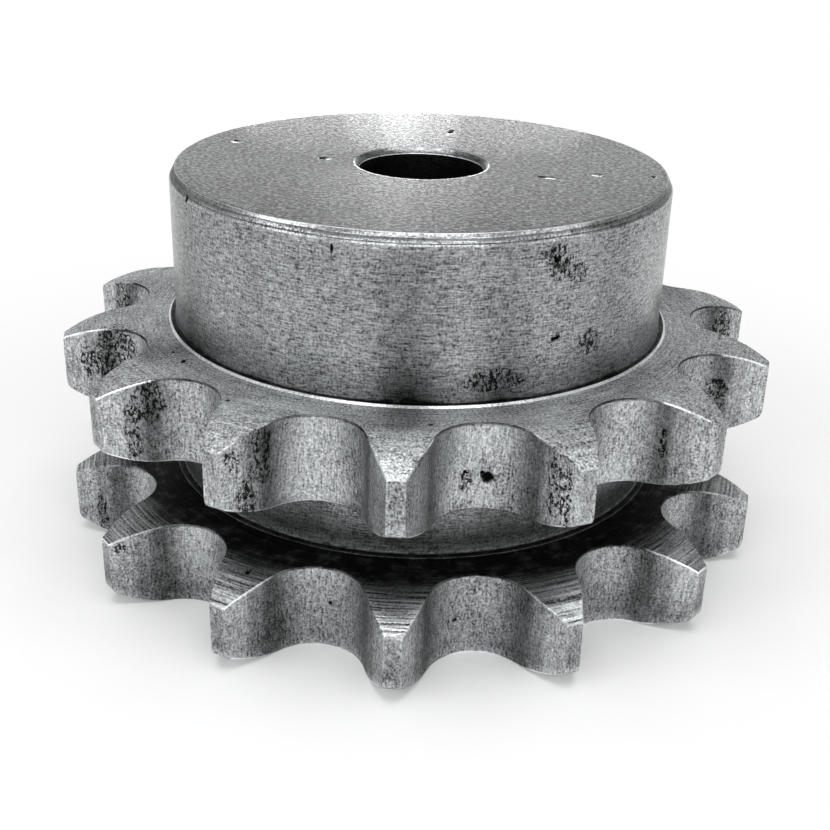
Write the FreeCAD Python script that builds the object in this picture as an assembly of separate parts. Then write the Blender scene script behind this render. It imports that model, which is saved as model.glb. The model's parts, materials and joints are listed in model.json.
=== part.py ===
import math
import os

import FreeCAD, Part
from FreeCAD import Vector

# A sprocket for a double-strand roller chain, turned and cut from one piece of steel.
# Two equal toothed rows stand one strand pitch apart on a round core, with a plain hub
# on one side and a through bore.
# Millimetres. Z is the axis of the bore, Z = 0 is the flat face that it stands on, and
# one tooth of each row points along -Y.

# The chain: 3/4 inch pitch, two strands.
CHAIN_PITCH = 19.05
ROLLER_DIAMETER = 12.07
STRAND_PITCH = 19.46

# The toothed rows.
TEETH = 14
TIP_DIAMETER = 93.0
ROW_WIDTH = 10.8

# Tooth form: the roller's seat, and the bulged flank that leads from it to the tip.
SEAT_CLEARANCE = 0.06
SEAT_ANGLE = 122.8
FLANK_RADIUS = 29.4

# Rounded relief on both sides of every tooth, which guides the chain's plates.
RELIEF_REACH = 7.6
RELIEF_DEPTH = 2.0

# The core between the rows, and the hub above them.
CORE_DIAMETER = 64.0
HUB_DIAMETER = 64.0
OVERALL_LENGTH = 50.0
INNER_CORNER = 0.8
HUB_CHAMFER_WIDTH = 0.7
HUB_CHAMFER_HEIGHT = 1.4

# The bore.
BORE_DIAMETER = 16.0
BORE_CHAMFER = 0.65

# How far the gap cutter starts below the blank and reaches past its rim.
CUTTER_OVERRUN = 1.0

pitch_radius = CHAIN_PITCH / (2 * math.sin(math.pi / TEETH))
root_radius = pitch_radius - ROLLER_DIAMETER / 2
tip_radius = TIP_DIAMETER / 2
rows_height = STRAND_PITCH + ROW_WIDTH


def section_arc(centre_r, centre_z, radius, start, end):
    """Three points of an arc in the XZ plane, between two angles in degrees."""
    points = []
    for degrees in (start, (start + end) / 2, end):
        angle = math.radians(degrees)
        r = centre_r + radius * math.cos(angle)
        z = centre_z + radius * math.sin(angle)
        points.append(Vector(r, 0, z))
    return points


def row_rim(bottom):
    """One row's rim: the relief of its lower side, then that of its upper side."""
    radius = (RELIEF_REACH ** 2 + RELIEF_DEPTH ** 2) / (2 * RELIEF_DEPTH)
    sweep = math.degrees(math.asin(RELIEF_REACH / radius))
    start_r = tip_radius - RELIEF_REACH
    lower = section_arc(start_r, bottom + radius, radius, -90, sweep - 90)
    upper = section_arc(start_r, bottom + ROW_WIDTH - radius, radius, 90 - sweep, 90)
    return [lower, upper]


def corner(face, wall_radius, side):
    """Small slanted corner where a round wall meets a row's face, in order of height.

    Side is 1 for a wall that stands on the face and -1 for one that hangs below it.
    """
    on_face = [Vector(wall_radius + INNER_CORNER, 0, face)]
    on_wall = [Vector(wall_radius, 0, face + side * INNER_CORNER)]
    return [on_face, on_wall][::side]


def closed_face(stations):
    """Face inside an outline of single points and arcs, joined by straight lines."""
    edges = []
    last = stations[-1][-1]
    for station in stations:
        if last.distanceToPoint(station[0]) > Part.Precision.confusion():
            edges.append(Part.LineSegment(last, station[0]).toShape())
        if len(station) == 3:
            edges.append(Part.Arc(*station).toShape())
        last = station[-1]
    return Part.Face(Part.Wire(edges))


def turned_blank():
    """The whole sprocket before its teeth are cut, as one turned solid."""
    core_radius = CORE_DIAMETER / 2
    hub_radius = HUB_DIAMETER / 2
    bore_radius = BORE_DIAMETER / 2
    mouth_radius = bore_radius + BORE_CHAMFER
    stations = [
        [Vector(mouth_radius, 0, 0)],
        *row_rim(0),
        *corner(ROW_WIDTH, core_radius, 1),
        *corner(STRAND_PITCH, core_radius, -1),
        *row_rim(STRAND_PITCH),
        *corner(rows_height, hub_radius, 1),
        [Vector(hub_radius, 0, OVERALL_LENGTH - HUB_CHAMFER_HEIGHT)],
        [Vector(hub_radius - HUB_CHAMFER_WIDTH, 0, OVERALL_LENGTH)],
        [Vector(mouth_radius, 0, OVERALL_LENGTH)],
        [Vector(bore_radius, 0, OVERALL_LENGTH - BORE_CHAMFER)],
        [Vector(bore_radius, 0, BORE_CHAMFER)],
    ]
    return closed_face(stations).revolve(Vector(0, 0, 0), Vector(0, 0, 1), 360)


def flank(side, seat_centre, seat_radius, reach):
    """One flank of a gap on the +X axis, from its seat out to the radius reach.

    It bulges into the gap and runs on smoothly from the seat. Side is 1 or -1 in Y.
    """
    half_seat = math.radians(SEAT_ANGLE / 2)
    outward = Vector(-math.cos(half_seat), side * math.sin(half_seat), 0)
    centre = seat_centre + outward * (seat_radius + FLANK_RADIUS)
    start = seat_centre + outward * seat_radius
    distance = centre.Length
    cosine = (FLANK_RADIUS ** 2 + distance ** 2 - reach ** 2) / (2 * FLANK_RADIUS * distance)
    inward = math.atan2(-centre.y, -centre.x)
    start_angle = math.atan2(start.y - centre.y, start.x - centre.x)
    end_angle = inward + side * math.acos(cosine)
    points = [start]
    for angle in ((start_angle + end_angle) / 2, end_angle):
        points.append(centre + Vector(math.cos(angle), math.sin(angle), 0) * FLANK_RADIUS)
    return points


def gap_cutter():
    """The space between two teeth of both rows, on the +X axis."""
    seat_radius = ROLLER_DIAMETER / 2 + SEAT_CLEARANCE
    seat_centre = Vector(root_radius + seat_radius, 0, 0)
    reach = tip_radius + CUTTER_OVERRUN
    left = flank(1, seat_centre, seat_radius, reach)
    right = flank(-1, seat_centre, seat_radius, reach)
    root = Vector(root_radius, 0, 0)
    beyond = Vector(reach + CUTTER_OVERRUN, 0, 0)
    outline = [
        [right[0], root, left[0]],
        left,
        [left[-1], beyond, right[-1]],
        right[::-1],
    ]
    face = closed_face(outline)
    face.translate(Vector(0, 0, -CUTTER_OVERRUN))
    return face.extrude(Vector(0, 0, rows_height + CUTTER_OVERRUN))


def sprocket():
    """The blank with the gaps cut through both rows in one pass, so their teeth line up."""
    cutters = []
    for number in range(TEETH):
        cutter = gap_cutter()
        turn = -90 + (number + 0.5) * 360 / TEETH
        cutter.rotate(Vector(0, 0, 0), Vector(0, 0, 1), turn)
        cutters.append(cutter)
    return turned_blank().cut(cutters).removeSplitter()


os.makedirs("parts", exist_ok=True)
sprocket().exportStep("parts/sprocket.step")
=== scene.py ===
import itertools
import json
import math
import random

import bmesh
import bpy
from mathutils import Matrix, Vector, noise


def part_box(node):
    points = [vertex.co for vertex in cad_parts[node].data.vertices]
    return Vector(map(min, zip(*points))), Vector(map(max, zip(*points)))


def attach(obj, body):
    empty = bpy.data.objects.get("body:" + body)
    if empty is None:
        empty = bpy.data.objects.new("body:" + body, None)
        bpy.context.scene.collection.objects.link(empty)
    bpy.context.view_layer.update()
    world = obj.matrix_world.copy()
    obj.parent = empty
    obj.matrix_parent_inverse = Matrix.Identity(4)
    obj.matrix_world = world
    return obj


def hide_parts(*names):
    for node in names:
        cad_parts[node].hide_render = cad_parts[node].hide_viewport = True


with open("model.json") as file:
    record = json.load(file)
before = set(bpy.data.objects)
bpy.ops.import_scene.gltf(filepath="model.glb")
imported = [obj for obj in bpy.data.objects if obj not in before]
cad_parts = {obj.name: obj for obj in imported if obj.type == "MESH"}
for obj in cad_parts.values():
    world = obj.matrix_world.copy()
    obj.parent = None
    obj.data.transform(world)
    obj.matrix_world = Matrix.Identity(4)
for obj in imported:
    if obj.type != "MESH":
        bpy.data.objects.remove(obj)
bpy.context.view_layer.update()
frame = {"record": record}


# The camera stands close to the sprocket, a little above its hub and two degrees to the
# right of the tooth that points forwards, and it is tipped slightly to one side.
MM = 0.001
PHOTO_WIDTH = 830
FOCAL_PIXELS = 1269.3
SENSOR_WIDTH = 36.0
CAMERA_REACH = 161.65 * MM
CAMERA_HEIGHT = 88.92 * MM
CAMERA_SIDE = 0.0353
CAMERA_PITCH = 0.4328
CAMERA_YAW = 0.0006
CAMERA_ROLL = 0.029
NEAREST_SEEN = 0.01
FARTHEST_SEEN = 50.0


def place_camera():
    forward = Vector((
        math.sin(CAMERA_YAW) * math.cos(CAMERA_PITCH),
        math.cos(CAMERA_YAW) * math.cos(CAMERA_PITCH),
        -math.sin(CAMERA_PITCH),
    ))
    level = Vector((math.cos(CAMERA_YAW), -math.sin(CAMERA_YAW), 0))
    rise = level.cross(forward)
    right = math.cos(CAMERA_ROLL) * level + math.sin(CAMERA_ROLL) * rise
    up = math.cos(CAMERA_ROLL) * rise - math.sin(CAMERA_ROLL) * level
    turn = Matrix((right, up, -forward)).transposed().to_4x4()
    lens = bpy.data.cameras.new("photo_camera")
    lens.sensor_width = SENSOR_WIDTH
    lens.lens = FOCAL_PIXELS / PHOTO_WIDTH * SENSOR_WIDTH
    lens.clip_start = NEAREST_SEEN
    lens.clip_end = FARTHEST_SEEN
    camera = bpy.data.objects.new("photo_camera", lens)
    bpy.context.scene.collection.objects.link(camera)
    place = Matrix.Translation((0, -CAMERA_REACH, CAMERA_HEIGHT)) @ turn
    camera.matrix_world = Matrix.Rotation(CAMERA_SIDE, 4, "Z") @ place
    bpy.context.scene.camera = camera


place_camera()


# The sprocket is one piece of steel. It was turned from a bar, with a groove plunged
# between the two rows and the rims rounded off, and then the tooth gaps were hobbed
# through both rows at once, which leaves narrow flats and slightly burred edges.
TEETH = 14
CHAIN_PITCH = 19.05 * MM
ROLLER_DIAMETER = 12.07 * MM
STRAND_PITCH = 19.46 * MM
ROW_WIDTH = 10.8 * MM
SEAT_CLEARANCE = 0.06 * MM
SEAT_ANGLE = math.radians(122.8)
FLANK_RADIUS = 29.4 * MM
RELIEF_REACH = 7.6 * MM
RELIEF_DEPTH = 2.0 * MM
HUB_RADIUS = 32.0 * MM
FOOT_REACH = 1.0 * MM
HUB_CHAMFER_WIDTH = 0.7 * MM
HUB_CHAMFER_HEIGHT = 1.4 * MM
EDGE_BREAK = 0.1 * MM
LOWER_ROUNDING = 1.2 * MM
WELD_DISTANCE = 0.002 * MM

solid_low, solid_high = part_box("sprocket")
LENGTH = solid_high[2]
TIP_RADIUS = solid_high[1]
mounts = {mount["name"]: mount for mount in frame["record"]["mounts"]}
BORE_RADIUS = mounts["bore"]["dims"]["r_mm"] * MM
BORE_CHAMFER = (LENGTH - mounts["bore"]["dims"]["length_mm"] * MM) / 2
MOUTH_RADIUS = BORE_RADIUS + BORE_CHAMFER
ROWS_HEIGHT = STRAND_PITCH + ROW_WIDTH
ROOT_RADIUS = CHAIN_PITCH / (2 * math.sin(math.pi / TEETH)) - ROLLER_DIAMETER / 2
INNER_RADIUS = HUB_RADIUS + FOOT_REACH
RELIEF_START = TIP_RADIUS - RELIEF_REACH
HALF_SECTOR = math.pi / TEETH

# Steps of the mesh along each stretch, and the hob's flats along a flank: where each
# starts and ends, its steps as shares of it, and the painted shade on it, darkest next to the
# seat. A film is a share, from 0 on clean steel to 1 where it hides the steel. On the flats
# and along the seat, where it grows by the gain, it is painted shade.
SEAT_STEPS = 8
SEAT_FILM = 0.03
SEAT_SHADE_GAIN = 0.57
FLATS = (
    (0.0, 0.2, (0.5, 1.0), 0.68),
    (0.2, 0.5, (0.5, 1.0), 0.3),
    (0.5, 1.0, (0.3, 0.6, 0.84, 0.91, 0.96, 1.0), 0.0),
)
TIP_STEPS = 2
TIP_FILM = 0.24

# The edge of the roller seats is darkened with painted shade, this far down the wall and this much.
SEAT_EDGE_DEPTH = 0.22 * MM
SEAT_EDGE_SHADE = 0.85

# More painted shade on the lower row's walls, most towards the surface that it stands on.
LOWER_ROW_SHADE = 0.02
STANDING_SHADE = 0.34
MOST_LOWER_WALL_SHADE = 0.72

# Painted shade covers the groove's two sides this far out from the core, then thins out over this
# width.
GROOVE_SHADE = 4.2 * MM
GROOVE_SHADE_FADE = 7.6 * MM
FACE_SHARES = (0.0, 0.13, 0.26, 0.38, 0.5, 0.6, 0.7, 0.8, 0.89, 0.94, 0.97, 0.99, 1.0)
WALL_STEPS = 7

# The finishes, by number, as the faces of the mesh carry them.
END_FACE, ROUND, ROW_FACE, GROOVE_FACE, WALL, BURR, EDGE, CHAMFER, BORE = range(9)


def along(start, end, steps):
    """Even steps from start to end, without the first one."""
    return [start + (end - start) * n / steps for n in range(1, steps + 1)]


def half_outline():
    """Outline from the middle of a gap to the middle of a tooth.

    Each point is (radius, angle from the middle of the tooth, normal, number of its flat,
    film and painted shade).
    """
    seat_radius = ROLLER_DIAMETER / 2 + SEAT_CLEARANCE
    seat = Vector((ROOT_RADIUS + seat_radius, 0))
    points = []
    for turn in [0] + along(0, SEAT_ANGLE / 2, SEAT_STEPS):
        outward = Vector((-math.cos(turn), math.sin(turn)))
        film_and_shade = SEAT_FILM + SEAT_SHADE_GAIN * (turn / SEAT_ANGLE * 2) ** 3
        points.append((seat + outward * seat_radius, outward, 0, film_and_shade))
    centre = seat + outward * (seat_radius + FLANK_RADIUS)
    start = math.atan2(-outward.y, -outward.x)
    reach = centre.length
    cosine = (FLANK_RADIUS ** 2 + reach ** 2 - TIP_RADIUS ** 2) / (2 * FLANK_RADIUS * reach)
    sweep = math.atan2(-centre.y, -centre.x) + math.acos(cosine) - start

    def on_arc(share):
        turn = start + sweep * share
        return Vector((math.cos(turn), math.sin(turn)))

    for number, (low, high, shares, film_and_shade) in enumerate(FLATS, 1):
        first = centre + on_arc(low) * FLANK_RADIUS
        last = centre + on_arc(high) * FLANK_RADIUS
        for share in shares:
            points.append((first.lerp(last, share), -on_arc((low + high) / 2), number, film_and_shade))
    outline = []
    for point, normal, number, film_and_shade in points:
        turn = HALF_SECTOR - math.atan2(point.y, point.x)
        outline.append((point.length, turn, normal, number, film_and_shade))
    for turn in along(outline[-1][1], 0, TIP_STEPS):
        facing = HALF_SECTOR - turn
        normal = Vector((-math.cos(facing), -math.sin(facing)))
        outline.append((TIP_RADIUS, turn, normal, len(FLATS) + 1, TIP_FILM))
    return outline


def relief_drop(radius):
    """How far the relieved side of a row lies below its flat face at this radius."""
    if radius <= RELIEF_START:
        return 0.0
    curve = (RELIEF_REACH ** 2 + RELIEF_DEPTH ** 2) / (2 * RELIEF_DEPTH)
    return curve - math.sqrt(curve ** 2 - (radius - RELIEF_START) ** 2)


# Where the relief ends at the rim it slopes this much, and the rounded corner starts here.
RIM_SLOPE = math.asin(2 * RELIEF_REACH * RELIEF_DEPTH / (RELIEF_REACH ** 2 + RELIEF_DEPTH ** 2))
ROUNDING_TANGENT = LOWER_ROUNDING * math.tan((math.pi / 2 - RIM_SLOPE) / 2)
ROUNDING_START = TIP_RADIUS - ROUNDING_TANGENT * math.cos(RIM_SLOPE)


def lower_drop(radius):
    """The same for a row's lower side, whose corner at the rim is rounded more."""
    if radius <= ROUNDING_START:
        return relief_drop(radius)
    tangent_drop = relief_drop(TIP_RADIUS) - ROUNDING_TANGENT * math.sin(RIM_SLOPE)
    middle = tangent_drop + LOWER_ROUNDING * math.cos(RIM_SLOPE)
    reach = radius - (TIP_RADIUS - LOWER_ROUNDING)
    arc = middle - math.sqrt(max(0.0, LOWER_ROUNDING ** 2 - reach ** 2))
    return max(relief_drop(radius), arc)


def sector_columns():
    """Columns of one tooth's sector, from gap to gap.

    Each is (inner angle, radius, angle, inset radius, inset angle, number of its flat,
    film and painted shade).
    """
    half = half_outline()
    columns = []
    for number, (radius, turn, normal, flat, film_and_shade) in enumerate(half):
        inner_turn = HALF_SECTOR * (1 - number / (len(half) - 1))
        facing = HALF_SECTOR - turn
        point = Vector((radius * math.cos(facing), radius * math.sin(facing)))
        inset = point + normal * EDGE_BREAK
        inset_turn = max(0.0, HALF_SECTOR - math.atan2(inset.y, inset.x))
        columns.append((inner_turn, radius, turn, inset.length, inset_turn, flat, film_and_shade))
    mirrored = []
    for inner_turn, radius, turn, inset_radius, inset_turn, flat, film_and_shade in columns[-2::-1]:
        mirrored.append((-inner_turn, radius, -turn, inset_radius, -inset_turn, -flat, film_and_shade))
    return columns + mirrored


def painted_groove_shade(radius, in_groove):
    """Share of painted shade on a row's face: only in the groove, most near the core."""
    if not in_groove:
        return 0.0
    share = min(1.0, max(0.0, (radius - INNER_RADIUS - GROOVE_SHADE) / GROOVE_SHADE_FADE))
    return 1 - share * share * (3 - 2 * share)


def row_loop(column, bottom, loop):
    """One row in a column: lower face outwards, wall upwards, upper face inwards.

    Each point added is (radius, angle, height, finish, film and painted shade, burr). The burr
    is 1 where the broken edge wanders down the wall, -1 where it wanders up and otherwise 0.
    """
    inner_turn, radius, turn, inset_radius, inset_turn, flat, film_and_shade = column
    top = bottom + ROW_WIDTH
    low_in_groove = bottom > 0
    shade = film_and_shade if low_in_groove else film_and_shade + LOWER_ROW_SHADE
    side = []
    for share in FACE_SHARES:
        r = INNER_RADIUS + (inset_radius - INNER_RADIUS) * share
        side.append((r, inner_turn + (inset_turn - inner_turn) * share))
    for r, angle in side:
        finish = GROOVE_FACE if low_in_groove else ROW_FACE
        finish = WALL if r > ROUNDING_START else finish
        loop.append((r, angle, bottom + lower_drop(r), finish, painted_groove_shade(r, low_in_groove), 0))
    low = bottom + lower_drop(radius) + EDGE_BREAK
    high = top - relief_drop(radius) - EDGE_BREAK
    loop.append((radius, turn, low, WALL if radius > ROUNDING_START else BURR, shade, -1))
    for height in along(low, high - SEAT_EDGE_DEPTH, WALL_STEPS):
        # The lower row's walls darken towards the bottom: painted shade.
        below = 0.0 if low_in_groove else STANDING_SHADE * (high - height) / (high - low)
        loop.append((radius, turn, height, WALL, max(shade, min(MOST_LOWER_WALL_SHADE, shade + below)), 0))
    # The seat's top edge and the face beside it get painted shade.
    seat_edge_shade = SEAT_EDGE_SHADE if flat == 0 else 0.0
    loop.append((radius, turn, high, WALL, max(shade, seat_edge_shade), 1))
    for number, (r, angle) in enumerate(side[::-1]):
        finish = ROW_FACE if low_in_groove else GROOVE_FACE
        finish = BURR if number == 0 else finish
        height = top - relief_drop(r)
        shade = max(painted_groove_shade(r, not low_in_groove), seat_edge_shade if number == 0 else 0.0)
        loop.append((r, angle, height, finish, shade, 0))


def straight(start, end, steps, finish, grime=(0, 0)):
    """Rings along a straight line between two (radius, height) points.

    Each ring is (radius, height, finish, film and painted shade).
    """
    rings = []
    for share in along(0, 1, steps):
        radius = start[0] + (end[0] - start[0]) * share
        height = start[1] + (end[1] - start[1]) * share
        rings.append((radius, height, finish, grime[0] + (grime[1] - grime[0]) * share))
    return rings


# The foot of the hub and of the core: a little slanted step, painted shade behind it, a fillet
# with painted shade that fades up it.
HUB_STEP = 0.23 * MM
CORE_STEP = 0.06 * MM
STEP_BACK = 0.08 * MM
STEP_BACK_RISE = 0.02 * MM
STEP_BACK_SHADE = 0.8
FILLET = 0.3 * MM
FILLET_RISE = 0.03 * MM
FILLET_STEPS = 3
FILLET_SHADE = 0.95
FILLET_FADE = 0.55


def foot(face, side, step, step_shade):
    """Rings where a round wall meets a row's face.

    Side is 1 for a wall that stands on the face and -1 for one that hangs below it.
    """
    back_radius = INNER_RADIUS - step - STEP_BACK
    rings = [
        (INNER_RADIUS - step, face + side * step, EDGE, step_shade),
        (back_radius, face + side * (step + STEP_BACK_RISE), EDGE, STEP_BACK_SHADE),
    ]
    base = face + side * (step + FILLET_RISE)
    for turn in [0] + along(0, math.pi / 2, FILLET_STEPS):
        radius = HUB_RADIUS + FILLET * (1 - math.sin(turn))
        film_and_shade = FILLET_SHADE - FILLET_FADE * turn / (math.pi / 2)
        rings.append((radius, base + side * FILLET * (1 - math.cos(turn)), ROUND, film_and_shade))
    return rings


# The core's painted shade, dark at its lower end, and that of the steps at its two ends.
CORE_SHADE = (0.8, 0.0)
CORE_STEPS = 6
LOWER_STEP_SHADE = 0.86
UPPER_STEP_SHADE = 0.6


def groove_rings():
    """Rings of the core, from the lower row's face to just below the upper row's."""
    low = foot(ROW_WIDTH, 1, CORE_STEP, LOWER_STEP_SHADE)
    high = foot(STRAND_PITCH, -1, CORE_STEP, UPPER_STEP_SHADE)
    wall = straight(low[-1][:2], high[-1][:2], CORE_STEPS, ROUND, CORE_SHADE)
    finishes = [high[-1][2]] + [ring[2] for ring in high[::-1]]
    back_up = []
    for (radius, height, _, _), finish in zip(high[-2::-1], finishes):
        back_up.append((radius, height, finish, UPPER_STEP_SHADE))
    return low + wall + back_up


# Rings of the hub's chamfer, as (share of the way up it, how deep the tool's line is there).
CHAMFER_LINES = (
    (0.28, 0.0),
    (0.32, 0.035 * MM),
    (0.36, 0.0),
    (0.64, 0.0),
    (0.68, 0.03 * MM),
    (0.72, 0.0),
    (0.95, 0.0),
)


def chamfer_rings(shoulder, rim):
    """Rings of the hub's chamfer, with the two fine lines that the tool left in it."""
    rings = []
    for share, depth in CHAMFER_LINES:
        radius = shoulder[0] + (rim[0] - shoulder[0]) * share - depth
        rings.append((radius, shoulder[1] + (rim[1] - shoulder[1]) * share, CHAMFER, 0.0))
    return rings + [(rim[0] - EDGE_BREAK, LENGTH, EDGE, 0.0)]


# Painted shade at the hub's foot and how far up it thins out, and painted shade in the bore and its
# mouth.
HUB_FOOT_SHADE = (0.32, 0.0)
HUB_FOOT_HEIGHT = 5.5 * MM
MOUTH_SHADE = (0.65, 0.65)
BORE_SHADE = (0.3, 0.3)

# Rings this close to the end face's two edges keep its shading flat up to them.
FACE_MARGIN = 0.25 * MM

# The broken edges of the bore's mouth: down from the face, out from the bore and down it.
MOUTH_DROP = 0.04 * MM
THROAT_WIDTH = 0.06 * MM
THROAT_DROP = 0.12 * MM


def hub_rings():
    """Rings of the hub, its end face, the bore and the face that it stands on."""
    shoulder = (HUB_RADIUS, LENGTH - HUB_CHAMFER_HEIGHT)
    rim = (HUB_RADIUS - HUB_CHAMFER_WIDTH, LENGTH)
    foot_end = (HUB_RADIUS, ROWS_HEIGHT + HUB_FOOT_HEIGHT)
    rings = foot(ROWS_HEIGHT, 1, HUB_STEP, 0.0)
    rings += straight(rings[-1][:2], foot_end, 5, ROUND, HUB_FOOT_SHADE)
    rings += straight(rings[-1][:2], shoulder, 6, ROUND)
    rings += chamfer_rings(shoulder, rim)
    rings += straight(rings[-1][:2], (rim[0] - FACE_MARGIN, LENGTH), 1, END_FACE)
    rings += straight(rings[-1][:2], (MOUTH_RADIUS + FACE_MARGIN, LENGTH), 11, END_FACE)
    rings.append((MOUTH_RADIUS + EDGE_BREAK, LENGTH, END_FACE, 0.0))
    rings.append((MOUTH_RADIUS, LENGTH - MOUTH_DROP, EDGE, 0.0))
    throat = (BORE_RADIUS + THROAT_WIDTH, LENGTH - BORE_CHAMFER)
    rings += straight(rings[-1][:2], throat, 1, CHAMFER, MOUTH_SHADE)
    rings.append((BORE_RADIUS, LENGTH - BORE_CHAMFER - THROAT_DROP, EDGE, 0.0))
    rings += straight(rings[-1][:2], (BORE_RADIUS, BORE_CHAMFER), 8, BORE, BORE_SHADE)
    rings += straight((BORE_RADIUS, BORE_CHAMFER), (MOUTH_RADIUS, 0), 1, EDGE)
    rings += straight((MOUTH_RADIUS, 0), (INNER_RADIUS, 0), 8, END_FACE)
    return rings[:-1]


def sector_mesh():
    """One tooth's sector of the whole sprocket, from gap to gap, pointing along -Y."""
    columns = sector_columns()
    loops = []
    for column in columns:
        loop = []
        row_loop(column, 0, loop)
        for radius, height, finish, grime in groove_rings():
            loop.append((radius, column[0], height, finish, grime, 0))
        row_loop(column, STRAND_PITCH, loop)
        for radius, height, finish, grime in hub_rings():
            loop.append((radius, column[0], height, finish, grime, 0))
        loops.append(loop)
    size = len(loops[0])
    points = [point for loop in loops for point in loop]
    vertices = [(r * math.sin(turn), -r * math.cos(turn), z) for r, turn, z, _, _, _ in points]
    faces = []
    finishes = []
    flats = []
    for left in range(len(loops) - 1):
        flat = columns[left + 1][5] if columns[left + 1][5] > 0 else columns[left][5]
        for low in range(size):
            high = (low + 1) % size
            finish = END_FACE if high == 0 else loops[left][high][3]
            corners = (left * size + low, left * size + high)
            faces.append(corners + (corners[1] + size, corners[0] + size))
            finishes.append(finish)
            flats.append(flat if finish == WALL else 0)
    mesh = bpy.data.meshes.new("sprocket_sector")
    mesh.from_pydata(vertices, [], faces)
    for name, kind, domain, values in (
        ("finish", "INT", "FACE", finishes),
        ("flat", "INT", "FACE", flats),
        ("grime", "FLOAT", "POINT", [point[4] for point in points]),
        ("burr", "FLOAT", "POINT", [point[5] for point in points]),
    ):
        mesh.attributes.new(name, kind, domain).data.foreach_set("value", values)
    return mesh


# The finishes. The steel is bare, dull and nearly neutral. The lathe left rings on its flat
# faces and fine lines round its walls, the hob left upright marks in the gaps, and storage
# left specks, stains and patches of rust scars.
def new_group(name, inputs, outputs):
    group = bpy.data.node_groups.new(name, "ShaderNodeTree")
    for label, kind, value in inputs:
        socket = group.interface.new_socket(label, in_out="INPUT", socket_type=kind)
        socket.default_value = value
    for label, kind in outputs:
        group.interface.new_socket(label, in_out="OUTPUT", socket_type=kind)
    return group


class Nodes:
    """Short ways to add and join nodes in one tree."""

    def __init__(self, tree):
        self.tree = tree

    def add(self, kind, **settings):
        node = self.tree.nodes.new(kind)
        for key, value in settings.items():
            setattr(node, key, value)
        return node

    def join(self, source, target):
        self.tree.links.new(source, target)

    def feed(self, socket, value):
        if isinstance(value, bpy.types.NodeSocket):
            self.join(value, socket)
        else:
            socket.default_value = value

    def math(self, operation, *values, clamp=False):
        node = self.add("ShaderNodeMath", operation=operation, use_clamp=clamp)
        for socket, value in zip(node.inputs, values):
            self.feed(socket, value)
        return node.outputs[0]

    def ramp(self, value, low, high, out_low=0.0, out_high=1.0):
        node = self.add("ShaderNodeMapRange", interpolation_type="SMOOTHSTEP")
        for number, item in enumerate((value, low, high, out_low, out_high)):
            self.feed(node.inputs[number], item)
        return node.outputs[0]

    def noise(self, vector, scale, detail=2.0, roughness=0.5):
        node = self.add("ShaderNodeTexNoise", noise_dimensions="3D")
        self.join(vector, node.inputs["Vector"])
        self.feed(node.inputs["Scale"], scale)
        node.inputs["Detail"].default_value = detail
        node.inputs["Roughness"].default_value = roughness
        return self.math("SUBTRACT", node.outputs["Fac"], 0.5)

    def dots(self, vector, scale, smallest, largest):
        """Round spots of random size, as a mask."""
        node = self.add("ShaderNodeTexVoronoi", feature="F1")
        self.join(vector, node.inputs["Vector"])
        node.inputs["Scale"].default_value = scale
        split = self.add("ShaderNodeSeparateColor")
        self.join(node.outputs["Color"], split.inputs[0])
        spread = self.math("POWER", split.outputs[0], 5.0)
        size = self.math("ADD", smallest, self.math("MULTIPLY", spread, largest - smallest))
        share = self.math("DIVIDE", node.outputs["Distance"], size)
        return self.ramp(share, 0.7, 1.2, 1.0, 0.0)

    def combine(self, x, y, z):
        node = self.add("ShaderNodeCombineXYZ")
        for socket, value in zip(node.inputs, (x, y, z)):
            self.feed(socket, value)
        return node.outputs[0]

    def scaled(self, value, factor):
        return self.math("MULTIPLY", value, factor)

    def stretched(self, parts, rates):
        """A vector whose three parts are each multiplied by their own rate."""
        return self.combine(*[self.scaled(part, rate) for part, rate in zip(parts, rates)])


# How fast tool marks change along each part of a place. The rings on a flat face change
# with the radius and the direction, and the others with x, y and z in millimetres.
RING_RATES = (3.4, 5.0, 5.0)
ROUND_LINE_RATES = (0.8, 0.8, 6.0)
UPRIGHT_RATES = (4.6, 4.6, 0.9)


def coordinates_group():
    """Object coordinates in millimetres, and the ways that tool marks run on them."""
    group = new_group("lathe_coordinates", [], [
        ("Position", "NodeSocketVector"),
        ("Rings", "NodeSocketVector"),
        ("Round lines", "NodeSocketVector"),
        ("Upright", "NodeSocketVector"),
    ])
    n = Nodes(group)
    out = n.add("NodeGroupOutput")
    place = n.add("ShaderNodeTexCoord").outputs["Object"]
    millimetres = n.add("ShaderNodeVectorMath", operation="SCALE")
    n.join(place, millimetres.inputs[0])
    millimetres.inputs["Scale"].default_value = 1 / MM
    split = n.add("ShaderNodeSeparateXYZ")
    n.join(millimetres.outputs[0], split.inputs[0])
    x, y, z = split.outputs
    length = n.add("ShaderNodeVectorMath", operation="LENGTH")
    n.join(n.combine(x, y, 0.0), length.inputs[0])
    radius = length.outputs["Value"]
    east = n.math("DIVIDE", x, n.math("MAXIMUM", radius, 1.0))
    north = n.math("DIVIDE", y, n.math("MAXIMUM", radius, 1.0))
    n.join(millimetres.outputs[0], out.inputs["Position"])
    n.join(n.stretched((radius, east, north), RING_RATES), out.inputs["Rings"])
    n.join(n.stretched((x, y, z), ROUND_LINE_RATES), out.inputs["Round lines"])
    n.join(n.stretched((x, y, z), UPRIGHT_RATES), out.inputs["Upright"])
    return group


# The darkest and brightest that grain and marks make the steel, how dark specks, scars and
# film with painted shade are where they are full, how blotchy the grain is, and the steel's slight
# tint.
TONE_RANGE = (0.12, 2.4)
SPECK_DARKNESS = 0.85
SCAR_DARKNESS = 0.92
FILM_AND_SHADE_DARKNESS = 0.985
BLOTCH_SHARE = 0.12
RED_SHARE = 0.965
BLUE_SHARE = 1.01


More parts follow.
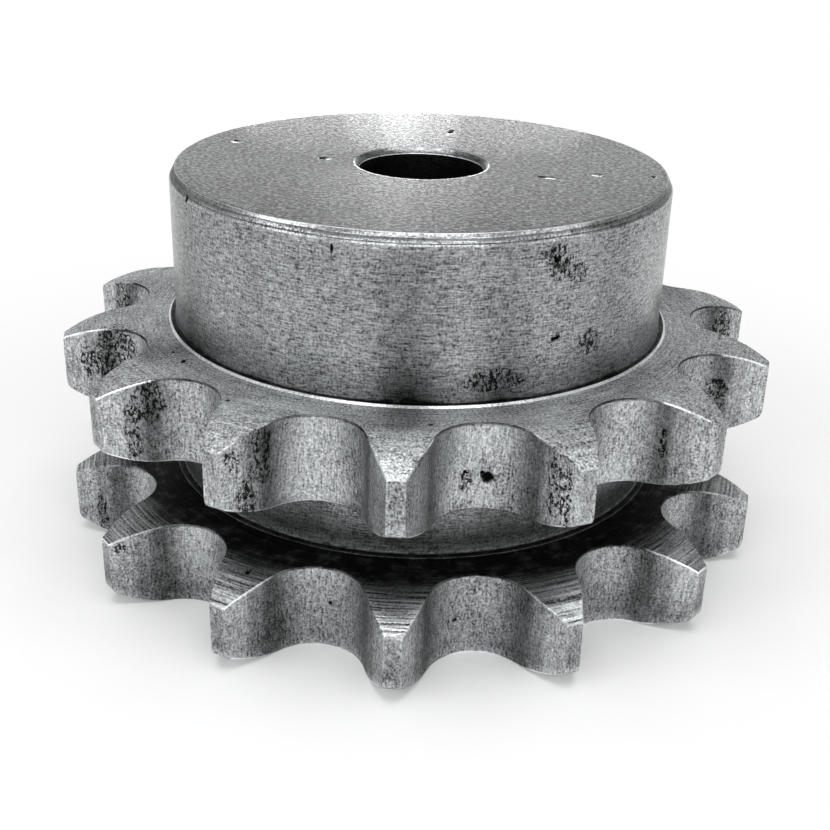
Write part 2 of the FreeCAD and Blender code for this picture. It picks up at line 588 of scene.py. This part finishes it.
def steel_group():
    """Bare steel as a colour, a roughness and a height. Its patterns' scales are in cells
    a millimetre.
    """
    group = new_group("bare_steel", [
        ("Position", "NodeSocketVector", (0, 0, 0)),
        ("Marks", "NodeSocketVector", (0, 0, 0)),
        ("Cross marks", "NodeSocketVector", (0, 0, 0)),
        ("Tone", "NodeSocketFloat", 0.3),
        ("Grain", "NodeSocketFloat", 3.0),
        ("Grain scale", "NodeSocketFloat", 3.6),
        ("Mark strength", "NodeSocketFloat", 2.0),
        ("Cross strength", "NodeSocketFloat", 0.0),
        ("Clouds", "NodeSocketFloat", 1.0),
        ("Specks", "NodeSocketFloat", 0.8),
        ("Scars", "NodeSocketFloat", 0.0),
        ("Grime", "NodeSocketFloat", 0.0),
        ("Roughness", "NodeSocketFloat", 0.35),
    ], [
        ("Color", "NodeSocketColor"),
        ("Roughness", "NodeSocketFloat"),
        ("Height", "NodeSocketFloat"),
    ])
    n = Nodes(group)
    given = n.add("NodeGroupInput").outputs
    out = n.add("NodeGroupOutput")
    position = given["Position"]
    grain = n.noise(position, given["Grain scale"], 2.0, 0.6)
    blotch = n.noise(position, 0.8, 2.0, 0.6)
    cloud = n.noise(position, 0.13, 2.0, 0.5)
    marks = n.noise(given["Marks"], 1.0, 2.0, 0.6)
    cross = n.noise(given["Cross marks"], 1.0, 2.0, 0.6)
    tone = 1.0
    for pattern, strength in (
        (grain, given["Grain"]),
        (blotch, n.scaled(given["Grain"], BLOTCH_SHARE)),
        (marks, given["Mark strength"]),
        (cross, given["Cross strength"]),
        (cloud, given["Clouds"]),
    ):
        tone = n.math("ADD", tone, n.math("MULTIPLY", pattern, strength))
    tone = n.math("MINIMUM", n.math("MAXIMUM", tone, TONE_RANGE[0]), TONE_RANGE[1])

    crowd = n.ramp(n.noise(position, 0.2, 2.0, 0.5), 0.0, 0.2, 0.15, 1.0)
    speck = n.math("MULTIPLY", n.dots(position, 0.95, 0.04, 0.26), crowd)
    fine = n.dots(given["Cross marks"], 0.5, 0.03, 0.3)
    speck = n.math("MAXIMUM", speck, n.math("MULTIPLY", fine, crowd))
    speck = n.math("MULTIPLY", speck, given["Specks"], clamp=True)

    tall = n.add("ShaderNodeVectorMath", operation="MULTIPLY")
    n.join(position, tall.inputs[0])
    tall.inputs[1].default_value = (1.0, 1.0, 0.6)
    winding = n.math("ABSOLUTE", n.noise(tall.outputs[0], 1.5, 2.0, 0.55))
    vein = n.ramp(winding, 0.008, 0.035, 1.0, 0.0)
    blot = n.ramp(n.noise(tall.outputs[0], 2.6, 2.0, 0.6), 0.02, 0.07)
    crust = n.math("MAXIMUM", vein, blot)
    edge = n.math("ADD", given["Scars"], n.noise(position, 0.5, 2.0, 0.5))
    scars = n.math("MULTIPLY", crust, n.ramp(edge, 0.38, 0.55))
    dark = n.math("MAXIMUM", n.scaled(speck, SPECK_DARKNESS), n.scaled(scars, SCAR_DARKNESS))

    # The film below darkens the colour; it carries painted shade as well as old film.
    film_and_shade = n.math("ADD", 1.0, n.scaled(n.noise(position, 0.5, 3.0, 0.6), 0.45))
    film_and_shade = n.math("MULTIPLY", film_and_shade, given["Grime"], clamp=True)
    shown = n.math("SUBTRACT", 1.0, n.scaled(film_and_shade, FILM_AND_SHADE_DARKNESS))
    shown = n.math("MULTIPLY", n.math("SUBTRACT", 1.0, dark), shown)
    value = n.math("MULTIPLY", n.math("MULTIPLY", tone, given["Tone"]), shown, clamp=True)
    colour = n.add("ShaderNodeCombineColor")
    n.join(n.scaled(value, RED_SHARE), colour.inputs[0])
    n.join(value, colour.inputs[1])
    n.join(n.scaled(value, BLUE_SHARE), colour.inputs[2])
    n.join(colour.outputs[0], out.inputs["Color"])

    rough = n.math("SUBTRACT", given["Roughness"], n.scaled(grain, 0.3))
    rough = n.math("ADD", rough, n.scaled(n.math("MAXIMUM", dark, film_and_shade), 0.3), clamp=True)
    n.join(rough, out.inputs["Roughness"])
    furrows = n.scaled(n.math("MULTIPLY", marks, given["Mark strength"]), 0.35)
    height = n.math("ADD", n.scaled(grain, 0.7), furrows)
    n.join(n.math("SUBTRACT", height, dark), out.inputs["Height"])
    return group


lathe_coordinates = coordinates_group()
bare_steel = steel_group()
QUARTER_TURN = 0.25


def steel(name, follows, crosses, bump, anisotropic=0.0, **amounts):
    """A steel finish whose tool marks follow two of the lathe coordinates.

    The bump is in millimetres. Anisotropic draws highlights out across the rings.
    """
    material = bpy.data.materials.new(name)
    material.use_nodes = True
    n = Nodes(material.node_tree)
    shader = material.node_tree.nodes["Principled BSDF"]
    where = n.add("ShaderNodeGroup", node_tree=lathe_coordinates)
    skin = n.add("ShaderNodeGroup", node_tree=bare_steel)
    n.join(where.outputs["Position"], skin.inputs["Position"])
    n.join(where.outputs[follows], skin.inputs["Marks"])
    n.join(where.outputs[crosses], skin.inputs["Cross marks"])
    for label, value in amounts.items():
        skin.inputs[label.replace("_", " ").capitalize()].default_value = value
    for label in ("Scars", "Grime"):
        spread = n.add("ShaderNodeAttribute", attribute_name=label.lower())
        n.join(spread.outputs["Fac"], skin.inputs[label])
    relief = n.add("ShaderNodeBump")
    relief.inputs["Distance"].default_value = bump * MM
    n.join(skin.outputs["Height"], relief.inputs["Height"])
    n.join(skin.outputs["Color"], shader.inputs["Base Color"])
    n.join(skin.outputs["Roughness"], shader.inputs["Roughness"])
    n.join(relief.outputs[0], shader.inputs["Normal"])
    shader.inputs["Metallic"].default_value = 1.0
    if anisotropic:
        shader.inputs["Anisotropic"].default_value = anisotropic
        shader.inputs["Anisotropic Rotation"].default_value = QUARTER_TURN
        tangent = n.add("ShaderNodeTangent", direction_type="RADIAL", axis="Z")
        n.join(tangent.outputs[0], shader.inputs["Tangent"])
    return material


# The tones differ between finishes partly as painted light and shade: the same steel is set lighter
# or darker per kind of surface to stand in for how the light falls on it.
finish_materials = {
    END_FACE: steel(
        "turned_end_face", "Rings", "Position", 0.012, 0.85, tone=0.212, grain=10.0,
        grain_scale=1.9, mark_strength=2.4, cross_strength=1.5, clouds=0.6, specks=0.4,
        roughness=0.16,
    ),
    ROUND: steel(
        "turned_wall", "Round lines", "Upright", 0.03, tone=0.3, grain=2.8,
        mark_strength=2.8, cross_strength=1.2, clouds=0.5, specks=0.5, roughness=0.3,
    ),
    ROW_FACE: steel(
        "turned_row_face", "Rings", "Position", 0.03, tone=0.52, grain=3.8,
        mark_strength=1.4, cross_strength=1.0, clouds=1.0, specks=0.55, roughness=0.54,
    ),
    GROOVE_FACE: steel(
        "grooved_row_face", "Rings", "Position", 0.04, tone=0.5, grain=2.6,
        mark_strength=5.0, clouds=0.6, specks=0.5, roughness=0.38,
    ),
    WALL: steel(
        "hobbed_gap", "Upright", "Position", 0.05, tone=0.45, grain=3.0,
        mark_strength=2.2, clouds=1.2, specks=0.6, roughness=0.42,
    ),
    # Burred and broken edges are set far lighter than the steel: partly worn bright, partly a
    # painted highlight.
    BURR: steel(
        "burred_edge", "Rings", "Position", 0.02, tone=0.72, grain=2.0,
        mark_strength=1.0, clouds=5.0, specks=0.4, roughness=0.4,
    ),
    EDGE: steel(
        "broken_edge", "Rings", "Position", 0.02, tone=0.95, grain=2.0,
        mark_strength=1.0, clouds=1.0, specks=0.4, roughness=0.4,
    ),
    CHAMFER: steel(
        "turned_chamfer", "Rings", "Position", 0.02, tone=0.38, grain=3.0,
        mark_strength=2.0, clouds=0.5, specks=0.5, roughness=0.24,
    ),
    # The bore's tone is nearly black: painted shade inside the hole.
    BORE: steel(
        "bored_hole", "Round lines", "Position", 0.03, tone=0.006, grain=3.0,
        mark_strength=2.0, clouds=1.0, specks=0.5, roughness=0.5,
    ),
}


def sector_tree():
    """Copies one sector round the axis, once for each tooth, and welds the copies."""
    tree = bpy.data.node_groups.new("teeth_round_the_axis", "GeometryNodeTree")
    tree.interface.new_socket("Sector", in_out="INPUT", socket_type="NodeSocketGeometry")
    teeth = tree.interface.new_socket("Teeth", in_out="INPUT", socket_type="NodeSocketInt")
    weld = tree.interface.new_socket("Weld distance", in_out="INPUT", socket_type="NodeSocketFloat")
    tree.interface.new_socket("Sprocket", in_out="OUTPUT", socket_type="NodeSocketGeometry")
    n = Nodes(tree)
    given = n.add("NodeGroupInput").outputs
    points = n.add("GeometryNodePoints")
    n.join(given["Teeth"], points.inputs["Count"])
    step = n.math("DIVIDE", 2 * math.pi, given["Teeth"])
    turn = n.math("MULTIPLY", n.add("GeometryNodeInputIndex").outputs[0], step)
    rotation = n.add("FunctionNodeAxisAngleToRotation")
    rotation.inputs["Axis"].default_value = (0, 0, 1)
    n.join(turn, rotation.inputs["Angle"])
    copies = n.add("GeometryNodeInstanceOnPoints")
    n.join(points.outputs[0], copies.inputs["Points"])
    n.join(given["Sector"], copies.inputs["Instance"])
    n.join(rotation.outputs[0], copies.inputs["Rotation"])
    realized = n.add("GeometryNodeRealizeInstances")
    n.join(copies.outputs[0], realized.inputs[0])
    welded = n.add("GeometryNodeMergeByDistance")
    n.join(given["Weld distance"], welded.inputs["Distance"])
    n.join(realized.outputs[0], welded.inputs["Geometry"])
    geometry = welded.outputs[0]
    finish = n.add("GeometryNodeInputNamedAttribute", data_type="INT")
    finish.inputs["Name"].default_value = "finish"
    for number, material in finish_materials.items():
        match = n.add("FunctionNodeCompare", data_type="INT", operation="EQUAL")
        whole = [socket for socket in match.inputs if socket.type == "INT"]
        n.join(finish.outputs["Attribute"], whole[0])
        whole[1].default_value = number
        paint = n.add("GeometryNodeSetMaterial")
        n.join(geometry, paint.inputs["Geometry"])
        n.join(match.outputs[0], paint.inputs["Selection"])
        paint.inputs["Material"].default_value = material
        geometry = paint.outputs[0]
    out = n.add("NodeGroupOutput")
    n.join(geometry, out.inputs[0])
    return tree, teeth.identifier, weld.identifier


def whole_mesh():
    """The sector repeated for all teeth, as one closed mesh."""
    sector = bpy.data.objects.new("sprocket_sector", sector_mesh())
    bpy.context.scene.collection.objects.link(sector)
    tree, teeth_socket, weld_socket = sector_tree()
    modifier = sector.modifiers.new("teeth", "NODES")
    modifier.node_group = tree
    modifier[teeth_socket] = TEETH
    modifier[weld_socket] = WELD_DISTANCE
    graph = bpy.context.evaluated_depsgraph_get()
    mesh = bpy.data.meshes.new_from_object(sector.evaluated_get(graph))
    mesh.name = "sprocket_body"
    bpy.data.objects.remove(sector)
    return mesh


# Pits, which are pressed into the mesh itself, as (angle from the front tooth in degrees,
# radius, height, half width, half height, depth) in millimetres. On a flat face the half
# width lies along x and the half height along y.
PITS = (
    (-91.5, 13.0, 50.0, 0.28, 0.7, 0.25),
    (94.0, 10.2, 50.0, 0.3, 0.75, 0.25),
    (-107.8, 26.7, 50.0, 0.28, 0.65, 0.2),
    (70.7, 16.0, 50.0, 0.2, 0.5, 0.15),
    (81.9, 22.6, 50.0, 0.25, 0.6, 0.2),
    (83.9, 29.5, 50.0, 0.25, 0.6, 0.2),
    (31.2, 16.3, 50.0, 0.25, 0.5, 0.15),
    (169.7, 19.0, 50.0, 0.4, 0.8, 0.15),
    (-15.1, 32.0, 47.75, 0.2, 0.5, 0.18),
    (31.0, 32.0, 37.0, 0.4, 0.3, 0.4),
    (31.9, 32.0, 37.2, 0.35, 0.26, 0.35),
    (-57.2, 31.9, 48.8, 0.3, 0.45, 0.25),
    (27.6, 32.0, 47.3, 0.3, 0.35, 0.15),
    (29.4, 32.0, 47.6, 0.45, 0.4, 0.2),
    (30.2, 32.0, 46.7, 0.35, 0.5, 0.18),
    (32.6, 32.0, 46.1, 0.3, 0.3, 0.15),
    (3.2, 32.0, 40.9, 0.22, 0.22, 0.12),
    (15.0, 36.9, 23.5, 0.62, 0.7, 0.5),
    (14.2, 36.85, 24.0, 0.3, 0.25, 0.3),
    (11.1, 36.9, 24.2, 0.25, 0.3, 0.2),
    (11.5, 36.85, 22.9, 0.25, 0.22, 0.2),
    (10.4, 37.0, 22.4, 0.2, 0.25, 0.2),
    (9.0, 37.4, 22.2, 0.2, 0.25, 0.15),
    (4.7, 37.1, 30.26, 0.3, 0.3, 0.12),
    (-50.6, 35.0, 30.26, 0.3, 0.5, 0.1),
    (-56.0, 34.8, 30.26, 0.25, 0.25, 0.1),
    (-31.0, 38.4, 30.26, 0.25, 0.25, 0.1),
    (-24.9, 41.2, 10.6, 0.3, 0.3, 0.15),
    (10.4, 37.0, 4.8, 0.25, 0.25, 0.2),
    (-12.6, 36.8, 6.0, 0.2, 0.25, 0.15),
)

# Patches of rust scars on the hub and on the walls of the gaps, as (angle, radius, height,
# half width, half height), and how many more are strewn over the teeth at the back.
SCARS = (
    (11.4, 37.0, 23.2, 1.1, 1.2),
    (31.0, 32.0, 46.4, 2.0, 2.4),
    (36.0, 32.0, 44.8, 1.7, 1.6),
    (17.5, 32.0, 33.0, 4.5, 1.4),
    (40.5, 32.0, 36.0, 2.0, 1.8),
    (-98.6, 43.0, 26.5, 1.2, 3.5),
    (98.6, 43.0, 27.0, 1.6, 2.6),
    (-71.6, 39.9, 26.5, 3.3, 4.9),
    (-46.4, 41.2, 27.6, 1.9, 2.6),
    (-48.2, 43.0, 23.5, 1.0, 5.0),
    (-21.3, 41.8, 26.8, 1.5, 3.9),
    (-22.3, 43.6, 21.8, 1.2, 3.0),
    (-23.4, 45.2, 27.0, 1.0, 1.6),
    (22.6, 43.6, 25.0, 1.1, 4.4),
    (23.3, 45.0, 24.5, 1.1, 4.2),
    (46.7, 41.2, 24.6, 0.5, 2.6),
    (-49.3, 45.2, 8.2, 1.0, 1.2),
    (-24.4, 41.0, 9.2, 1.6, 1.2),
)
BACK_SCARS = 16

# Where a flank stands, in degrees from the middle of its tooth: this much at the radius in
# millimetres, and more by the gain for each millimetre nearer the core.
FLANK_TURN = 2.3
FLANK_RADIUS_THERE = 45.1
FLANK_TURN_GAIN = 0.62

# Bands of old oil film and painted shade down the hub's wall and on its chamfer, as (angle,
# half width, share); those towards the front are painted shade where reflections fall dark.
# Those on the wall are weaker at its top and stronger at its foot.
WALL_FILM_AND_SHADE_BANDS = (
    (0.0, 6.5, 0.5),
    (-57.0, 9.0, 0.35),
    (-33.0, 4.0, 0.15),
    (20.0, 5.0, 0.3),
    (46.0, 7.0, 0.25),
    (110.0, 12.0, 0.3),
    (165.0, 8.0, 0.35),
    (-120.0, 10.0, 0.3),
)
CHAMFER_FILM_AND_SHADE_BANDS = ((-72.0, 24.0, 0.8), (70.0, 26.0, 0.65), (150.0, 18.0, 0.3))
TOP_STRENGTH = 0.45
FOOT_GAIN = 0.75
RIM_MARGIN = 0.01 * MM

# Faces are filed by boxes of this size, so that those near a pit are found quickly.
BUCKET = 4 * MM

# The mesh round a pit is split in rounds, finer and nearer to it each time, out to this
# many times its reach. Its edge is ragged by this share, with this many bumps a metre.
PIT_MESH_SIZES = (1.0 * MM, 0.5 * MM, 0.28 * MM, 0.16 * MM)
PIT_MESH_REACH = 1.3
PIT_PRESS_REACH = 1.6
PIT_RAGGEDNESS = 0.35
PIT_BUMPS = 2500
PIT_ROUNDNESS = 0.7
PIT_EDGE_FILM = 0.8

# The burred edges wander this far along the wall on average, with this many bumps a metre.
# Edges that turn more than this are drawn sharp.
BURR_HEIGHT = 0.09 * MM
BURR_BUMPS = 700
SHARP_TURN = math.radians(28)


def on_sprocket(turn, radius, height):
    """The place at an angle in degrees from the front tooth and at millimetres."""
    angle = math.radians(turn)
    return Vector((radius * math.sin(angle), -radius * math.cos(angle), height)) * MM


def bucket_of(point):
    return tuple(int(part // BUCKET) for part in point)


def file_faces(faces, buckets):
    for face in faces:
        buckets.setdefault(bucket_of(face.calc_center_median()), []).append(face)


def faces_near(centre, reach, buckets):
    home = bucket_of(centre)
    near = set()
    for step in itertools.product((-1, 0, 1), repeat=3):
        bucket = tuple(part + move for part, move in zip(home, step))
        near.update(buckets.get(bucket, ()))
    faces = []
    for face in near:
        if face.is_valid and (face.calc_center_median() - centre).length < reach:
            faces.append(face)
    return sorted(faces, key=lambda face: face.index)


def press_pit(work, centre, wide, tall, depth, buckets, grime):
    """Refines the mesh round a point and presses a ragged pit into it."""
    reach = max(wide, tall)
    for size in PIT_MESH_SIZES:
        faces = faces_near(centre, reach * PIT_MESH_REACH + size, buckets)
        limit = max(size * 0.5, min(wide, tall) * 0.45)
        edges = {edge for face in faces for edge in face.edges if edge.calc_length() > limit}
        if edges:
            order = sorted(edges, key=lambda edge: tuple(edge.verts[0].co + edge.verts[1].co))
            done = bmesh.ops.subdivide_edges(work, edges=order, cuts=1, use_grid_fill=True)
            parts = done["geom"]
            file_faces([part for part in parts if isinstance(part, bmesh.types.BMFace)], buckets)
    work.normal_update()
    faces = faces_near(centre, reach * PIT_PRESS_REACH, buckets)
    if not faces:
        return
    nearest = min(faces, key=lambda face: (face.calc_center_median() - centre).length)
    normal = nearest.normal.copy()
    side = Vector((0, 0, 1)).cross(normal)
    side = side.normalized() if side.length > 0.5 else Vector((1, 0, 0))
    rise = normal.cross(side)
    for vertex in {vertex for face in faces for vertex in face.verts}:
        offset = vertex.co - centre
        if abs(offset.dot(normal)) > reach:
            continue
        share = math.hypot(offset.dot(side) / wide, offset.dot(rise) / tall)
        share += PIT_RAGGEDNESS * noise.noise(vertex.co * PIT_BUMPS)
        if share < 1:
            fall = (1 - share * share) ** PIT_ROUNDNESS
            vertex.co -= normal * depth * fall
            vertex[grime] = max(vertex[grime], min(1.0, PIT_EDGE_FILM + fall))


def scar_places():
    """Each patch of scars, as (centre, half width, half height) in metres.

    Those at the back lie on the flanks of the third to the eleventh tooth, in either row.
    """
    places = [(on_sprocket(*scar[:3]), scar[3] * MM, scar[4] * MM) for scar in SCARS]
    random.seed(14)
    for _ in range(BACK_SCARS):
        tooth = random.randint(3, 11) * 360 / TEETH
        radius = random.uniform(40, 45)
        offset = FLANK_TURN + (FLANK_RADIUS_THERE - radius) * FLANK_TURN_GAIN
        turn = tooth + random.choice((-1, 1)) * offset
        height = random.choice((0, STRAND_PITCH / MM)) + random.uniform(3, 8)
        place = on_sprocket(turn, radius, height)
        places.append((place, random.uniform(0.8, 2) * MM, random.uniform(1.5, 4) * MM))
    return places


def scar_share(point, places):
    """How scarred the steel is at a point."""
    most = 0.0
    for centre, wide, tall in places:
        offset = point - centre
        if abs(offset.z) < tall * 1.5:
            share = math.hypot(math.hypot(offset.x, offset.y) / wide, offset.z / tall)
            most = max(most, min(1.0, 1.4 - share))
    return most


def band_film_and_shade(point):
    """Old film and painted shade that the bands on the hub's wall and chamfer add at a point."""
    radius = math.hypot(point.x, point.y)
    if point.z <= ROWS_HEIGHT or radius <= HUB_RADIUS - HUB_CHAMFER_WIDTH - RIM_MARGIN:
        return 0.0
    on_chamfer = point.z > LENGTH - HUB_CHAMFER_HEIGHT + EDGE_BREAK
    turn = math.degrees(math.atan2(point.x, -point.y))
    low = (LENGTH - point.z) / (LENGTH - ROWS_HEIGHT)
    strength = 1.0 if on_chamfer else TOP_STRENGTH + FOOT_GAIN * low
    film_and_shade = 0.0
    for middle, spread, share in CHAMFER_FILM_AND_SHADE_BANDS if on_chamfer else WALL_FILM_AND_SHADE_BANDS:
        film_and_shade += math.exp(-((turn - middle) / spread) ** 2) * share * strength
    return film_and_shade


def mark_edges(work, flat):
    """Marks each edge sharp where the surface turns there or another flat starts."""
    for edge in work.edges:
        first, second = edge.link_faces
        turned = first.normal.angle(second.normal, 0) > SHARP_TURN
        new_flat = first[flat] and second[flat] and first[flat] != second[flat]
        edge.smooth = not (turned or new_flat)


def wear(mesh):
    """Ragged burrs along the cut edges, film and painted shade, rust scars, pits, and sharp or
    smooth edges.
    """
    work = bmesh.new()
    work.from_mesh(mesh)
    bmesh.ops.recalc_face_normals(work, faces=work.faces)
    grime = work.verts.layers.float["grime"]
    burr = work.verts.layers.float["burr"]
    scars = work.verts.layers.float.new("scars")
    flat = work.faces.layers.int["flat"]
    places = scar_places()
    for vertex in work.verts:
        vertex[grime] = min(1.0, vertex[grime] + band_film_and_shade(vertex.co))
        if vertex[burr]:
            height = BURR_HEIGHT * (1 + noise.noise(vertex.co * BURR_BUMPS))
            vertex.co.z -= vertex[burr] * height
        vertex[scars] = scar_share(vertex.co, places)
    buckets = {}
    file_faces(work.faces, buckets)
    for turn, radius, height, wide, tall, depth in PITS:
        centre = on_sprocket(turn, radius, height)
        press_pit(work, centre, wide * MM, tall * MM, depth * MM, buckets, grime)
    for face in work.faces:
        face.smooth = True
    mark_edges(work, flat)
    work.to_mesh(mesh)
    work.free()


def build_sprocket():
    mesh = whole_mesh()
    wear(mesh)
    body = bpy.data.objects.new("sprocket_body", mesh)
    bpy.context.scene.collection.objects.link(body)
    return body


sprocket_body = build_sprocket()
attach(sprocket_body, "root")
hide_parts("sprocket")


# The stage is a plain white floor that reaches past the view, with soft light from above,
# the front and both sides. Three small lamps low behind the sprocket draw the bright fan
# on its end face.
FLOOR_RADIUS = 6.0
FLOOR_COLOUR = (0.95, 0.95, 0.95, 1)
FLOOR_ROUGHNESS = 0.9
PLAIN_WHITE_FROM = 0.05
PLAIN_WHITE_AT = 0.14


def build_floor():
    """The floor, which takes the shadow near the sprocket and is plain white farther out."""
    mesh = bpy.data.meshes.new("floor")
    work = bmesh.new()
    bmesh.ops.create_circle(work, cap_ends=True, segments=64, radius=FLOOR_RADIUS)
    work.to_mesh(mesh)
    work.free()
    floor = bpy.data.objects.new("floor", mesh)
    bpy.context.scene.collection.objects.link(floor)
    material = bpy.data.materials.new("white_floor")
    material.use_nodes = True
    n = Nodes(material.node_tree)
    shader = material.node_tree.nodes["Principled BSDF"]
    shader.inputs["Base Color"].default_value = FLOOR_COLOUR
    shader.inputs["Roughness"].default_value = FLOOR_ROUGHNESS
    white = n.add("ShaderNodeEmission")
    path = n.add("ShaderNodeLightPath").outputs
    seen = n.math("MAXIMUM", path["Is Camera Ray"], path["Is Glossy Ray"])
    seen = n.math("MAXIMUM", seen, path["Is Transmission Ray"])
    length = n.add("ShaderNodeVectorMath", operation="LENGTH")
    n.join(n.add("ShaderNodeTexCoord").outputs["Object"], length.inputs[0])
    far = n.ramp(length.outputs["Value"], PLAIN_WHITE_FROM, PLAIN_WHITE_AT)
    mixed = n.add("ShaderNodeMixShader")
    n.join(n.math("MULTIPLY", seen, far), mixed.inputs[0])
    n.join(shader.outputs[0], mixed.inputs[1])
    n.join(white.outputs[0], mixed.inputs[2])
    n.join(mixed.outputs[0], material.node_tree.nodes["Material Output"].inputs["Surface"])
    mesh.materials.append(material)


def soft_box(name, place, target, width, height, power):
    light = bpy.data.lights.new(name, "AREA")
    light.shape = "RECTANGLE"
    light.size = width
    light.size_y = height
    light.energy = power
    lamp = bpy.data.objects.new(name, light)
    lamp.location = place
    lamp.visible_camera = False
    lamp.rotation_mode = "QUATERNION"
    lamp.rotation_quaternion = (Vector(target) - Vector(place)).to_track_quat("-Z", "Y")
    bpy.context.scene.collection.objects.link(lamp)


# The world is white up to the first height and dim from the second, as the sine of the
# angle above the floor.
WHITE_BELOW = 0.1
DIM_ABOVE = 0.4
DIM_LIGHT = 0.22


def light_world():
    """White low down, where the backdrop would be, and dim above."""
    world = bpy.data.worlds.new("studio")
    world.use_nodes = True
    n = Nodes(world.node_tree)
    background = world.node_tree.nodes["Background"]
    split = n.add("ShaderNodeSeparateXYZ")
    n.join(n.add("ShaderNodeTexCoord").outputs["Generated"], split.inputs[0])
    light = n.ramp(split.outputs[2], WHITE_BELOW, DIM_ABOVE, 1.0, DIM_LIGHT)
    n.join(light, background.inputs["Color"])
    bpy.context.scene.world = world


# Each lamp, as (name, place, what it points at, width, height, watts).
MIDDLE = (0, 0, 0.05)
FRONT_MIDDLE = (0, 0, 0.04)
LAMPS = (
    ("light_above", (0.0, -0.1, 0.9), (0, -0.1, 0), 0.9, 0.8, 5.5),
    ("light_front", (0.03, -0.85, 0.5), FRONT_MIDDLE, 1.1, 0.35, 3.2),
    ("light_left", (-0.82, -0.42, 0.5), FRONT_MIDDLE, 0.6, 0.35, 1.8),
    ("light_right", (0.82, -0.38, 0.5), FRONT_MIDDLE, 0.6, 0.35, 1.0),
    ("light_behind_low", (-0.04, 0.9, 0.112), MIDDLE, 0.32, 0.05, 0.46),
    ("light_behind_mid", (-0.05, 0.9, 0.15), MIDDLE, 0.1, 0.04, 0.07),
    ("light_behind_high", (-0.05, 0.9, 0.18), MIDDLE, 0.035, 0.04, 0.015),
)

build_floor()
light_world()
for name, place, target, width, height, power in LAMPS:
    soft_box(name, place, target, width, height, power)
bpy.context.scene.view_settings.view_transform = "Standard"
